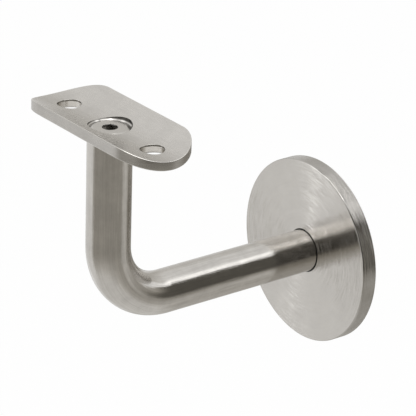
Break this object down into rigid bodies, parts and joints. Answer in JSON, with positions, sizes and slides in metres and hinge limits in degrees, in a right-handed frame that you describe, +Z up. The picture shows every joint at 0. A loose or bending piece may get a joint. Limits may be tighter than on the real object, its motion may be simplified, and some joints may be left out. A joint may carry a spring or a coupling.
{
  "type": "handrail bracket",
  "caption": "Wall-mounted handrail bracket: round wall disc, bent round-bar arm and a curved saddle plate held by a countersunk screw.",
  "frame": {"origin": "centre of the wall disc's back face, which lies on the wall", "axes": "+Z up, +Y into the wall, so the arm reaches out along -Y; X along the wall and along the handrail"},
  "size_m": [0.074, 0.11, 0.1081],
  "materials": {
    "disc_steel": "turned and brushed in fine rings",
    "arm_steel": "brushed along and round the bar",
    "saddle_steel": "satin, brushed along its length",
    "screw_steel": "smooth satin"
  },
  "bodies": {
    "root": {"wall_disc": "disc_steel", "bracket_arm": "arm_steel", "saddle_plate": "saddle_steel", "saddle_screw": "screw_steel"}
  },
  "joints": []
}
